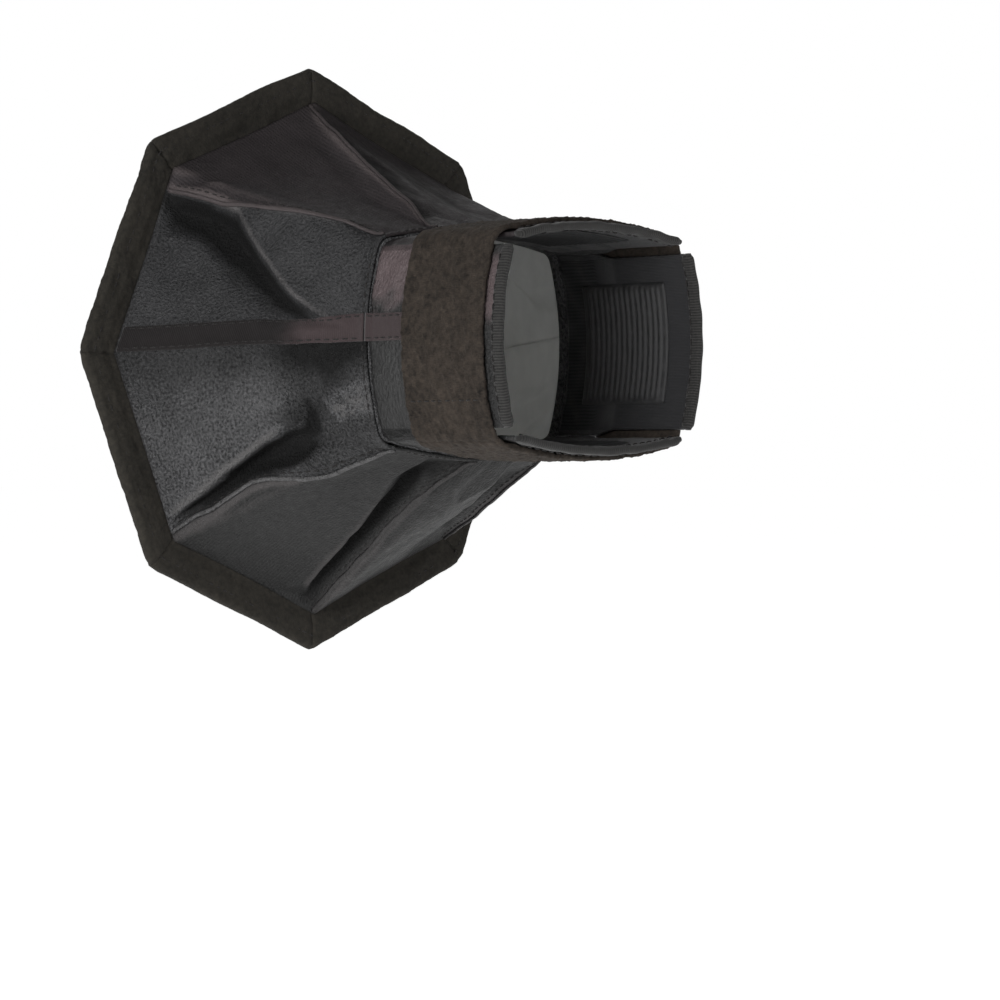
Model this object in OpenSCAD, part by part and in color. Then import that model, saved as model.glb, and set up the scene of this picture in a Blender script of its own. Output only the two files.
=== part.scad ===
// Folding octagonal softbox that straps onto a portable flash head.
// +Z is up, the diffuser faces -Y and the flash head slides in from +Y.
// The origin is the centre of the sleeve's rear opening, on the sleeve's axis.
// The side at +X is called near, the side at -X far.

/* [Rim] */
// Distance from the rim's centre to its outer corners
rim_corner_r = 100; // [85:1:120]
// How far the rim's centre hangs below the sleeve's axis
rim_drop = 3.2; // [0:0.1:6]
// Width of the hem, measured along a corner's direction
hem_w = 16; // [12:1:20]
// Thickness of the hem, front to back
hem_t = 4; // [3.6:0.2:6]
// Width of the flat spring-steel strip in the hem, front to back
strip_w = 2.2; // [1.6:0.1:2.4]
// Thickness of the strip
strip_t = 0.8; // [0.5:0.1:1]
// Distance from the hem's outer edge to the strip
strip_inset = 4; // [3:0.5:6]
// Radius of the strip's bends at the rim's corners
strip_bend = 8; // [4:1:15]
// Thickness of the diffuser cloth
diffuser_t = 0.8; // [0.5:0.1:1.5]
// How far the diffuser lies behind the rim's front face
diffuser_inset = 0.8; // [0.2:0.1:2]

/* [Walls] */
// Length of the cone of panels, from the hem's back to the waist seam
cone_len = 75; // [60:1:90]
// Thickness of a wall panel
panel_t = 1.4; // [1:0.1:2]
// Thickness of the silver lining
lining_t = 0.5; // [0.3:0.1:1]
// How far the panels overlap the hem's back, along a corner's direction
panel_lap = 3; // [1:0.5:6]
// Width of the tape over a seam between two panels
tape_w = 9; // [5:0.5:10]
// Thickness of the seam tape
tape_t = 0.7; // [0.4:0.1:1]

/* [Sleeve] */
// Length of the sleeve behind the waist band
sleeve_len = 61; // [50:1:75]
// Distance from the axis to the centres of the sleeve's rounded corners, sideways
corner_x = 35.3; // [30:0.1:40]
// The same distance, up and down
corner_z = 26.8; // [22:0.1:35]
// Outer radius of the sleeve's corners
corner_r = 6; // [4:0.5:9]
// Radius of the near and far sides' bulge
side_r = 90; // [80:1:200]
// Radius of the top and bottom sides' bulge
top_r = 170; // [100:1:300]
// Thickness of a sleeve flap
flap_t = 1.6; // [1:0.1:2.5]
// Thickness of the rubber grip pad inside a flap
pad_t = 1.4; // [1:0.1:2]
// Length of a grip pad along the sleeve
pad_len = 38; // [20:1:45]
// Length of the waist band between the panels and the flaps
waist_len = 4; // [3:0.5:6]
// Width of the binding on a flap's rear edge
binding_w = 4.5; // [3:0.5:6]

/* [Strap] */
// Width of the strap
strap_w = 37; // [25:1:40]
// Thickness of the strap
strap_t = 1.8; // [1.2:0.1:2.2]
// Distance from the sleeve's rear end to the strap
strap_back = 7; // [5:0.5:9]
// Thickness of the hook patch on the strap's free end
hook_t = 0.8; // [0.6:0.1:1.2]
// Margin of bare strap round the hook patch
hook_margin = 3; // [2:0.5:5]

/* [Hidden] */
SIDES = ["near", "top", "far", "bottom"];
function numbered(stem) = [for (i = [1:8]) str(stem, "_", i)];
function on_each_side(stem) = [for (s = SIDES) str(stem, "_", s)];

// Gap between parts that move past each other
gap = 0.4;
// Gap between two ends of strap that meet at a corner
end_gap = 0.15;
// Play of the strip in its channel and in its ferrule, and of the ferrule in its pocket
play = 0.1;
// Glue line under a tape, pad or patch, so that the facets of its curve stay clear
glue_gap = 0.15;
// How far the cone's narrow end stands outside the flaps
waist_step = 1.5;
// Wall and length of the flat ferrule that joins the strip's ends
ferrule_t = 0.5;
ferrule_len = 18;
// The hem that holds the ferrule
FERRULE_HEM = 5;

hem_back_y = -(sleeve_len + waist_len + cone_len);
rim_front_y = hem_back_y - hem_t;
waist_y = -(sleeve_len + waist_len);
flap_front_y = -sleeve_len;
hem_inner_r = rim_corner_r - hem_w;
hem_middle_y = hem_back_y - hem_t / 2;
strap_y = [-(strap_back + strap_w), -strap_back];

// The sleeve's outline is a ring of arcs: four bulged sides and four corners.
// Half of the angle that each side's arc turns through
side_a = asin(corner_z / (side_r - corner_r));
top_a = asin(corner_x / (top_r - corner_r));
// Direction of a corner's middle
corner_a = (side_a + 90 - top_a) / 2;
// Distance from the axis to the middle of each side
neck_x = corner_x + side_r - (side_r - corner_r) * cos(side_a);
neck_z = corner_z + top_r - (top_r - corner_r) * cos(top_a);

// Angle that one straight step of a bulged or rounded outline turns through
turn_step = 4;

function mix(a, b, t) = a + (b - a) * t;
function direction(a) = [cos(a), sin(a)];

// Point of the sleeve's outline whose outward direction is a, moved out by d
function neck_at(a, d) =
    let (
        b = atan2(abs(sin(a)), abs(cos(a))),
        arc = b < side_a ? [neck_x - side_r, 0, side_r]
            : b > 90 - top_a ? [0, neck_z - top_r, top_r]
            : [corner_x, corner_z, corner_r]
    )
    [sign(cos(a)) * (arc[0] + (arc[2] + d) * cos(b)),
     sign(sin(a)) * (arc[1] + (arc[2] + d) * sin(b))];

// Outward direction on the sleeve at t corners round within its first quarter, t from 0 to 2
side_share = 0.88;
function quarter_turn(t) =
    t < side_share ? mix(0, side_a, t / side_share)
    : t < 1 ? mix(side_a, corner_a, (t - side_share) / (1 - side_share))
    : t < 2 - side_share ? mix(corner_a, 90 - top_a, (t - 1) / (1 - side_share))
    : mix(90 - top_a, 90, (t - 2 + side_share) / side_share);

// Outward direction on the sleeve s corners round from the near side's middle
function neck_turn(s) =
    let (q = floor(s / 2), t = s - 2 * q)
    q % 2 == 0 ? 90 * q + quarter_turn(t) : 90 * (q + 1) - quarter_turn(2 - t);

// Point of an octagon with corner radius r, s corners round from the near corner
function octagon_at(s, r) =
    let (k = floor(s)) mix(r * direction(45 * k), r * direction(45 * (k + 1)), s - k);

// The cone's points at the rim and at the waist, sunk by d under its outer face
function rim_point(s, d) =
    let (p = octagon_at(s, hem_inner_r + panel_lap - d / cos(22.5)))
    [p[0], hem_back_y, p[1] - rim_drop];
function waist_point(s, d) =
    let (p = neck_at(neck_turn(s), waist_step - d)) [p[0], waist_y - gap, p[1]];

function quad(a, b, c, d) = [[a, b, c], [a, c, d]];

// Strip of the cone's wall through the given places at the rim and at the waist,
// from depth d0 to depth d1 under the cone's outer face
module wall(rim_places, waist_places, d0, d1) {
    n = len(rim_places);
    points = concat(
        [for (s = rim_places) rim_point(s, d0)], [for (s = waist_places) waist_point(s, d0)],
        [for (s = rim_places) rim_point(s, d1)], [for (s = waist_places) waist_point(s, d1)]
    );
    faces = concat(
        [for (i = [0:n - 2]) for (f = concat(
            quad(i, i + 1, n + i + 1, n + i),
            quad(2 * n + i, 3 * n + i, 3 * n + i + 1, 2 * n + i + 1),
            quad(2 * n + i, 2 * n + i + 1, i + 1, i),
            quad(n + i, n + i + 1, 3 * n + i + 1, 3 * n + i)
        )) f],
        [[0, n, 3 * n], [0, 3 * n, 2 * n]],
        [[n - 1, 4 * n - 1, 2 * n - 1], [n - 1, 3 * n - 1, 4 * n - 1]]
    );
    polyhedron(points, faces);
}

// Extrudes an outline drawn as seen from the front, X right and Z up, from y0 to y1
module along_y(y0, y1) {
    translate([0, y1, 0]) rotate([90, 0, 0]) linear_extrude(y1 - y0) children();
}

function angles(a0, a1) =
    let (n = ceil(abs(a1 - a0) / turn_step)) [for (i = [0:n]) mix(a0, a1, i / n)];

// Band round the sleeve through the given outward directions, with its inner face
// lifted by lifts over the flaps
module band(turns, lifts, t, y0, y1) {
    last = len(turns) - 1;
    along_y(y0, y1) polygon(concat(
        [for (i = [0:last]) neck_at(turns[i], lifts[i] + t)],
        [for (i = [0:last]) neck_at(turns[last - i], lifts[last - i])]
    ));
}

// Band with the same lift all along
module even_band(a0, a1, lift, t, y0, y1) {
    turns = angles(a0, a1);
    band(turns, [for (a = turns) lift], t, y0, y1);
}

// Solid of the sleeve's whole outline, moved out by d
module sleeve_block(d, y0, y1) {
    turns = angles(0, 360);
    along_y(y0, y1) polygon([for (i = [1:len(turns) - 1]) neck_at(turns[i], d)]);
}

// Half of the turn that a side's arc takes, for side 0 to 3
function flap_half(i) = i % 2 == 0 ? side_a : top_a;

/* Rim */

// Half of the tape's width as a share of a panel's width, at the rim and at the waist
rim_share = tape_w / 2 / (2 * (hem_inner_r + panel_lap) * sin(22.5));
waist_share = tape_w / 2 / norm(waist_point(1, 0) - waist_point(0, 0));

// Places across panel i, with one at each tape's edge
function across(i, share) = [for (u = [0, share, 0.4, 0.6, 1 - share, 1]) i + u];

module panel(i) {
    color("#3c3a3b") wall(across(i, rim_share), across(i, waist_share), 0, panel_t);
}

module lining(i) {
    color("silver")
        wall(across(i, rim_share), across(i, waist_share), panel_t, panel_t + lining_t);
}

// The tape lies over the corner i, so it starts on the panel before
module seam_tape(i) {
    color("#57504d") wall(
        [for (u = [-1, 0, 1]) i + 8 + u * rim_share], [for (u = [-1, 0, 1]) i + 8 + u * waist_share],
        -glue_gap - tape_t, -glue_gap
    );
}

// Distance from the axis to the centres of the strip's bends
bend_centre_r = rim_corner_r - (strip_inset + strip_bend) / cos(22.5);

// Solid octagon with rounded corners, from the strip's outer face moved out by d
module strip_block(d, w) {
    along_y(hem_middle_y - w / 2, hem_middle_y + w / 2) polygon([
        for (k = [0:7]) for (a = [-22.5, -7.5, 7.5, 22.5])
            bend_centre_r * direction(45 * k) + (strip_bend + d) * direction(45 * k + a)
    ]);
}

// The strip's ring, with the given play all round it
module strip_ring(margin) {
    difference() {
        strip_block(margin, strip_w + 2 * margin);
        strip_block(-strip_t - margin, strip_w + 1);
    }
}

// Flat block round the strip at the middle of the hem's side k
module ferrule_block(k, margin, len) {
    middle_r = bend_centre_r * cos(22.5) + strip_bend - strip_t / 2;
    rotate([0, -45 * (k + 0.5), 0]) translate([middle_r, hem_middle_y, 0])
        cube([strip_t + 2 * margin, strip_w + 2 * margin, len], center = true);
}

module hem(k) {
    color("#34312d") difference() {
        along_y(rim_front_y, hem_back_y) polygon([
            octagon_at(k, rim_corner_r), octagon_at(k + 1, rim_corner_r),
            octagon_at(k + 1, hem_inner_r), octagon_at(k, hem_inner_r)
        ]);
        strip_ring(play);
        if (k == FERRULE_HEM) ferrule_block(k, ferrule_t + 2 * play, ferrule_len + 1);
    }
}

module front_diffuser() {
    color("white") along_y(rim_front_y + diffuser_inset, rim_front_y + diffuser_inset + diffuser_t)
        circle(r = hem_inner_r, $fn = 8);
}

module spring_hoop() {
    color("#9a9da0") strip_ring(0);
}

module hoop_ferrule() {
    color("#b8a36a") difference() {
        ferrule_block(FERRULE_HEM, play + ferrule_t, ferrule_len);
        ferrule_block(FERRULE_HEM, play, ferrule_len + 1);
    }
}

// Moves a part of the rim down from the sleeve's axis to its place
module lowered() {
    translate([0, 0, -rim_drop]) children();
}

/* Sleeve */

module waist_band() {
    color("#2b2a2a") difference() {
        sleeve_block(waist_step, waist_y, flap_front_y);
        sleeve_block(-flap_t, waist_y - 1, flap_front_y + 1);
    }
}

// The far and bottom flaps swing, so they stand clear of the waist band
module flap(i) {
    front = flap_front_y + (i < 2 ? 0 : gap);
    color("#3c3a3b")
        even_band(90 * i - flap_half(i), 90 * i + flap_half(i), -flap_t, flap_t, front, -binding_w);
}

binding_proud = 0.6;

module binding(i) {
    color("#26221f") even_band(90 * i - flap_half(i), 90 * i + flap_half(i),
        -flap_t - binding_proud, flap_t + 2 * binding_proud, -binding_w, 0);
}

// Share of a flap's width that its grip pad covers
pad_share = 0.7;

module grip_pad(i) {
    half = pad_share * flap_half(i);
    middle_y = (flap_front_y - binding_w) / 2;
    color("#1d1d1e") even_band(90 * i - half, 90 * i + half, -flap_t - glue_gap - pad_t, pad_t,
        middle_y - pad_len / 2, middle_y + pad_len / 2);
}

/* Strap */

// Directions where the strap's pieces end: it runs from the near-bottom corner
// over the near side and the top to the middle of the far side, and its loose
// half runs back under the bottom and up the far side, over that end.
near_bottom_a = -corner_a;
far_bottom_a = corner_a - 180;
top_far_a = 180 - corner_a;
landing_end_a = 181;
lap_start_a = landing_end_a - 360;
tail_end_a = lap_start_a - 15;
// The tail steps out over the landing between these two directions
ramp_a = [lap_start_a + 8, lap_start_a + 2];

// Half of the turn that the end gap takes at a corner
end_turn = end_gap / (2 * (corner_r + strap_t)) * 180 / PI;
// Lift of the hook patch over the landing, and of the loose end over the patch
hook_lift = gap + strap_t + 2 * end_gap;
lap_lift = hook_lift + hook_t + glue_gap;

module strap(a0, a1) {
    color("#4a423e") even_band(a0, a1, gap, strap_t, strap_y[0], strap_y[1]);
}

module strap_band() {
    strap(near_bottom_a + end_turn, top_far_a - end_turn);
}

module strap_landing() {
    strap(top_far_a + end_turn, landing_end_a);
}

module strap_bottom() {
    strap(near_bottom_a - end_turn, far_bottom_a + end_turn);
}

module strap_tail() {
    turns = concat(angles(far_bottom_a - end_turn, ramp_a[0]), angles(ramp_a[1], tail_end_a));
    color("#4a423e") band(turns, [for (a = turns) a > ramp_a[1] ? gap : lap_lift],
        strap_t, strap_y[0], strap_y[1]);
}

module hook_patch() {
    margin_a = hook_margin / side_r * 180 / PI;
    color("#161616") even_band(lap_start_a - margin_a, tail_end_a + margin_a, hook_lift, hook_t,
        strap_y[0] + hook_margin, strap_y[1] - hook_margin);
}

for (i = [0:7]) {
    panel(i);
    lining(i);
    seam_tape(i);
    lowered() hem(i);
}
lowered() front_diffuser();
lowered() spring_hoop();
lowered() hoop_ferrule();
waist_band();
for (i = [0:3]) {
    flap(i);
    binding(i);
    grip_pad(i);
}
strap_band();
strap_landing();
strap_bottom();
strap_tail();
hook_patch();
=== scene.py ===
"""Looks of a folding octagonal softbox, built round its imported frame. Lengths are in metres.

The softbox's axis is Y: the diffuser faces -Y and the flash head goes in from +Y. Places round
the cone are counted in corners, s, from 0 at the near side (+X) through 2 at the top (+Z), and
places along it by t, from 0 at the hem to 1 at the waist.
"""
import math

import bpy
import numpy as np
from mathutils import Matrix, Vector
from mathutils.geometry import delaunay_2d_cdt


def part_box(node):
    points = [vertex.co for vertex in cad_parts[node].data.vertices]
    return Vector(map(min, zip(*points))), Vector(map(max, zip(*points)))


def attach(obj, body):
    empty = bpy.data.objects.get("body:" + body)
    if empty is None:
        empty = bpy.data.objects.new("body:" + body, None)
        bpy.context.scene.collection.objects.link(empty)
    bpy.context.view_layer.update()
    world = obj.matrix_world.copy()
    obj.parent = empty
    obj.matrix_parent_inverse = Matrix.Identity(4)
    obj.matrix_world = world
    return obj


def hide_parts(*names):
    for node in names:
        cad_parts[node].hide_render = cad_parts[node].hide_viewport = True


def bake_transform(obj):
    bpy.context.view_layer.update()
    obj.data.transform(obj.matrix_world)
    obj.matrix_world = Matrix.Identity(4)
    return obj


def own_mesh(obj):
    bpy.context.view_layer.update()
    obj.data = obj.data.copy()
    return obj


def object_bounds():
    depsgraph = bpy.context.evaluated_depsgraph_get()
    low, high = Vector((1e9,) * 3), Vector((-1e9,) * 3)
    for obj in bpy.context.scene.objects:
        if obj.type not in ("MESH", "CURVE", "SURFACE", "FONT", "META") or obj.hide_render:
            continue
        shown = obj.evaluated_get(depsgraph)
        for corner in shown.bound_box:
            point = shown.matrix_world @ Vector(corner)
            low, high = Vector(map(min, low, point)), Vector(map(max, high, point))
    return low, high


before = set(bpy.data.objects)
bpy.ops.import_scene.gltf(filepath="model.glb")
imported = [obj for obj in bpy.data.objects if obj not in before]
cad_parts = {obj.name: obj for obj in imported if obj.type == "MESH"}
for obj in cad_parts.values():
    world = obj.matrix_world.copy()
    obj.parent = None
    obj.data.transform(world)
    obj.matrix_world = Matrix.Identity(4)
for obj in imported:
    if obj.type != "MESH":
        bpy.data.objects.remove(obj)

cad_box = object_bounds()
MM = 0.001
TAU = 2 * math.pi


# ---------------------------------------------------------------- places, from the frame

def low(node):
    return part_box(node)[0]


def high(node):
    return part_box(node)[1]


RIM_R = high("hem_1").x
RIM_Z = (high("hem_2").z + low("hem_6").z) / 2
RIM_FRONT_Y = low("hem_1").y
HEM_BACK_Y = high("hem_1").y
HEM_INNER_R = high("front_diffuser").x
PANEL_LAP = 3 * MM
WALL_R = HEM_INNER_R + PANEL_LAP
WAIST_Y = low("waist_band").y
FLAP_Y = high("waist_band").y
CONE_END_Y = WAIST_Y - 0.4 * MM
# The panels run on over the waist band and are sewn down there
LAP_END_Y = FLAP_Y - 0.1 * MM
SEWN_Y = FLAP_Y - 1.5 * MM
NECK_X = high("flap_near").x
NECK_Z = high("flap_top").z
WAIST_LIFT = high("waist_band").x - NECK_X
BINDING_Y = low("binding_near").y
STRAP_Y0, STRAP_Y1 = low("strap_band").y, high("strap_band").y

# The sleeve's outline is four bulged sides and four round corners
SIDE_R, TOP_R, CORNER_R = 90 * MM, 170 * MM, 6 * MM
SIDE_A = math.asin(high("flap_near").z / SIDE_R)
TOP_A = math.asin(high("flap_top").x / TOP_R)
CORNER_X = (TOP_R - CORNER_R) * math.sin(TOP_A)
CORNER_Z = (SIDE_R - CORNER_R) * math.sin(SIDE_A)
CORNER_A = (SIDE_A + math.pi / 2 - TOP_A) / 2
EIGHTH = math.pi / 4


def sleeve_at(angle, lift=0.0):
    """(x, z) on the sleeve's outline where it faces the direction angle, moved out by lift."""
    c, s = np.cos(angle), np.sin(angle)
    b = np.arctan2(abs(s), abs(c))
    side, top = b < SIDE_A, b > math.pi / 2 - TOP_A
    r = np.where(side, SIDE_R, np.where(top, TOP_R, CORNER_R)) + lift
    x = np.where(side, NECK_X - SIDE_R, np.where(top, 0, CORNER_X)) + r * np.cos(b)
    z = np.where(side, 0, np.where(top, NECK_Z - TOP_R, CORNER_Z)) + r * np.sin(b)
    return np.sign(c) * x, np.sign(s) * z


def distance_along(points):
    """Distance from the first point along a line of points, or along each line of a grid."""
    step = np.linalg.norm(np.diff(points, axis=0), axis=-1)
    return np.concatenate([0 * step[:1], step.cumsum(0)])


def outward(turn):
    """Unit directions away from the axis at the angles turn."""
    return np.stack([np.cos(turn), 0 * turn, np.sin(turn)], -1)


def places(x, y, z):
    """Points from arrays of their coordinates, each stretched to fit the others."""
    return np.stack(np.broadcast_arrays(x, y, z), -1)


def sleeve_walk(a0, a1, step):
    """Directions from a0 to a1, spaced evenly by step along the sleeve's outline."""
    fine = np.linspace(a0, a1, 2000)
    way = distance_along(np.stack(sleeve_at(fine), -1))
    return np.interp(np.linspace(0, way[-1], max(2, round(way[-1] / step))), way, fine)


# Which way the sleeve faces at each corner place, with most of a flap's width on its flat side
SIDE_SHARE = 0.88
turn_s, turn_a = [], []
for quarter in range(4):
    first, last = (SIDE_A, TOP_A) if quarter % 2 == 0 else (TOP_A, SIDE_A)
    middle = CORNER_A if quarter % 2 == 0 else math.pi / 2 - CORNER_A
    turn_s += [2 * quarter + x for x in (0, SIDE_SHARE, 1, 2 - SIDE_SHARE)]
    turn_a += [quarter * math.pi / 2 + x for x in (0, first, middle, math.pi / 2 - last)]
turn_s, turn_a = turn_s + [8], turn_a + [TAU]


def sleeve_turn(s):
    """The direction that the sleeve faces at s corners round."""
    return np.interp(np.mod(s, 8), turn_s, turn_a)


def octagon_at(s, r):
    """(x, z) on an octagon of corner radius r at s corners round."""
    k, f = np.floor(s), s - np.floor(s)
    a, b = k * EIGHTH, (k + 1) * EIGHTH
    return (r * ((1 - f) * np.cos(a) + f * np.cos(b)), r * ((1 - f) * np.sin(a) + f * np.sin(b)))


def octagon_r(turn, r):
    """Distance from the axis to the edge of that octagon in the direction turn."""
    return r * math.cos(EIGHTH / 2) / np.cos(np.mod(turn, EIGHTH) - EIGHTH / 2)


CONE_SLOPE = 0.45


def cone_at(s, t):
    """Points of the plain cone and the directions in which its cloth lifts."""
    rx, rz = octagon_at(s, WALL_R)
    rz = rz + RIM_Z
    turn = sleeve_turn(s)
    wx, wz = sleeve_at(turn, WAIST_LIFT)
    cone_t = np.minimum(t, 1)
    point = np.stack([rx + (wx - rx) * cone_t, HEM_BACK_Y + (CONE_END_Y - HEM_BACK_Y) * t,
                      rz + (wz - rz) * cone_t], -1)
    rim_turn = np.mod(s, 8) * EIGHTH
    facing = rim_turn + (turn - rim_turn) * cone_t
    slope = np.where(t > 1, 0, CONE_SLOPE) + 0 * facing
    out = np.stack([np.cos(facing), slope, np.sin(facing)], -1)
    return point, out / np.linalg.norm(out, axis=-1, keepdims=True)


# ---------------------------------------------------------------- mesh helpers

def mesh_piece(name, points, faces, cloth=None, wear_and_painted_light=None):
    """A smooth mesh object. cloth gives each point's place on the flat cloth in millimetres, which the
    materials' weaves and grains follow; the last argument runs from -1, painted shade, to 1, rubbed
    coating and painted highlight."""
    mesh = bpy.data.meshes.new(name)
    mesh.from_pydata([tuple(p) for p in points], [], [tuple(f) for f in faces])
    mesh.polygons.foreach_set("use_smooth", [True] * len(mesh.polygons))
    if cloth is None:
        cloth = np.asarray(points) / MM
    spot = mesh.attributes.new("cloth", "FLOAT_VECTOR", "POINT")
    spot.data.foreach_set("vector", np.asarray(cloth, np.float32).ravel())
    paler = mesh.attributes.new("wear_and_painted_light", "FLOAT", "POINT")
    if wear_and_painted_light is not None:
        paler.data.foreach_set("value", np.asarray(wear_and_painted_light, np.float32).ravel())
    mesh.validate()
    mesh.update()
    obj = bpy.data.objects.new(name, mesh)
    bpy.context.scene.collection.objects.link(obj)
    return obj


def quads(rows, columns, wrap_rows=False, wrap_columns=False, first=0):
    """Faces of a grid of points stored row by row."""
    i = np.arange(rows if wrap_rows else rows - 1)[:, None]
    j = np.arange(columns if wrap_columns else columns - 1)[None]
    i2, j2 = (i + 1) % rows, (j + 1) % columns
    f = np.stack([i * columns + j, i * columns + j2, i2 * columns + j2, i2 * columns + j], -1)
    return (f.reshape(-1, 4) + first).tolist()


def shell(name, outer, inner, cloth=None, wear_and_painted_light=None):
    """A thin closed piece between two grids of points of the same shape."""
    n, m = outer.shape[:2]
    size = n * m
    faces = quads(n, m) + [f[::-1] for f in quads(n, m, first=size)]
    edge = ([(0, j) for j in range(m)] + [(i, m - 1) for i in range(1, n)]
            + [(n - 1, j) for j in range(m - 2, -1, -1)] + [(i, 0) for i in range(n - 2, 0, -1)])
    around = [i * m + j for i, j in edge]
    for a, b in zip(around, around[1:] + around[:1]):
        faces.append((b, a, a + size, b + size))
    points = np.concatenate([outer.reshape(-1, 3), inner.reshape(-1, 3)])
    twice = [None if x is None else np.concatenate([x.reshape(size, -1)] * 2) for x in (cloth, wear_and_painted_light)]
    return mesh_piece(name, points, faces, *twice)


def tube(name, rings, cloth=None, loop=False, wear_and_painted_light=None):
    """A closed piece through rings of points; a loop's last ring joins its first."""
    n, m = rings.shape[:2]
    faces = quads(n, m, wrap_rows=loop, wrap_columns=True)
    if not loop:
        faces += [tuple(range(m))[::-1], tuple((n - 1) * m + j for j in range(m))]
    flat = None if cloth is None else cloth.reshape(-1, 3)
    return mesh_piece(name, rings.reshape(-1, 3), faces, flat, wear_and_painted_light)


def normals_of(grid):
    """Unit normals of a grid of points (columns, rows) that closes round the axis, facing away
    from it."""
    n = np.cross(np.roll(grid, -1, 0) - np.roll(grid, 1, 0), np.gradient(grid, axis=1))
    n /= np.maximum(np.linalg.norm(n, axis=-1, keepdims=True), 1e-12)
    away = np.sign((n * grid * [1, 0, 1]).sum(-1).mean())
    return n * away


def waves(points, length, count=24, seed=0):
    """A smooth random field of about unit size over points, whose bumps are about length wide."""
    r = np.random.default_rng(seed)
    k = r.normal(size=(count, 3))
    k *= TAU / length * r.uniform(0.7, 1.4, (count, 1)) / np.linalg.norm(k, axis=1, keepdims=True)
    return np.sin(points @ k.T + r.uniform(0, TAU, count)).sum(-1) / math.sqrt(count / 2)


def bump(x, centre, width):
    """1 at the centre, falling smoothly to 0 at width away."""
    return np.clip(1 - ((x - centre) / width) ** 2, 0, 1) ** 2


def step_up(x, a, b):
    """0 up to a, rising smoothly to 1 at b."""
    w = np.clip((x - a) / (b - a), 0, 1)
    return w * w * (3 - 2 * w)


def fade(x, a, b):
    """1 up to a, falling smoothly to 0 at b."""
    return 1 - step_up(x, a, b)


def rounded(width, height, radius, step, ends=4):
    """Points (across, up) round a rounded bar's section, from its lower left, anticlockwise."""
    n = max(2, round((width - 2 * radius) / step))
    along = np.linspace(-width / 2 + radius, width / 2 - radius, n)
    turn = np.linspace(-math.pi / 2, math.pi / 2, ends + 2)[1:-1]
    rise = max(height / 2 - radius, 0)
    right = [(width / 2 - radius + radius * math.cos(a), math.copysign(rise, a) + radius * math.sin(a))
             for a in turn]
    top = [(x, height / 2) for x in along[::-1]]
    left = [(-x, -z) for x, z in right]
    return np.array([(x, -height / 2) for x in along] + right + top + left)


STITCH_LEN, STITCH_GAP, THREAD_R = 2.3 * MM, 0.9 * MM, 0.24 * MM


def stitches(name, lines, body):
    """Rows of thread stitches. Each line is (points, normals) on the cloth that they hold."""
    points, faces = [], []
    sides, stations = 6, [0.0, 0.18, 0.5, 0.82, 1.0]
    sink, thick = [-1.0, 0.35, 0.6, 0.35, -1.0], [0.6, 1, 1, 1, 0.6]
    for line, normals in lines:
        way = distance_along(line)
        for at in np.arange(STITCH_GAP / 2, way[-1] - STITCH_LEN, STITCH_LEN + STITCH_GAP):
            where = at + np.array(stations) * STITCH_LEN
            p = np.stack([np.interp(where, way, line[:, c]) for c in range(3)], -1)
            n = np.stack([np.interp(where, way, normals[:, c]) for c in range(3)], -1)
            n /= np.linalg.norm(n, axis=1, keepdims=True)
            run = p[-1] - p[0]
            run /= np.linalg.norm(run)
            side = np.cross(run, n)
            first = len(points)
            for i in range(len(stations)):
                for a in np.arange(sides) * TAU / sides:
                    ring = side[i] * math.cos(a) + n[i] * math.sin(a)
                    points.append(p[i] + n[i] * sink[i] * THREAD_R + ring * THREAD_R * thick[i])
            faces += [[first + x for x in f] for f in quads(len(stations), sides, wrap_columns=True)]
            faces.append([first + j for j in range(sides)][::-1])
            faces.append([first + (len(stations) - 1) * sides + j for j in range(sides)])
    return ride(mesh_piece(name, points, faces), body, material=thread)


def ride(obj, body, slot=None, stands_for=(), material=None):
    """Finishes a piece that moves with one body."""
    dress(obj, stands_for, material)
    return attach(obj, body)


def dress(obj, stands_for=(), material=None):
    if material is not None:
        obj.data.materials.append(material)
    if stands_for:
        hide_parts(*stands_for)
    return obj


def folds(obj):
    """A piece of the cone, given a mesh of its own."""
    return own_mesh(obj)


# ---------------------------------------------------------------- materials

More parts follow.
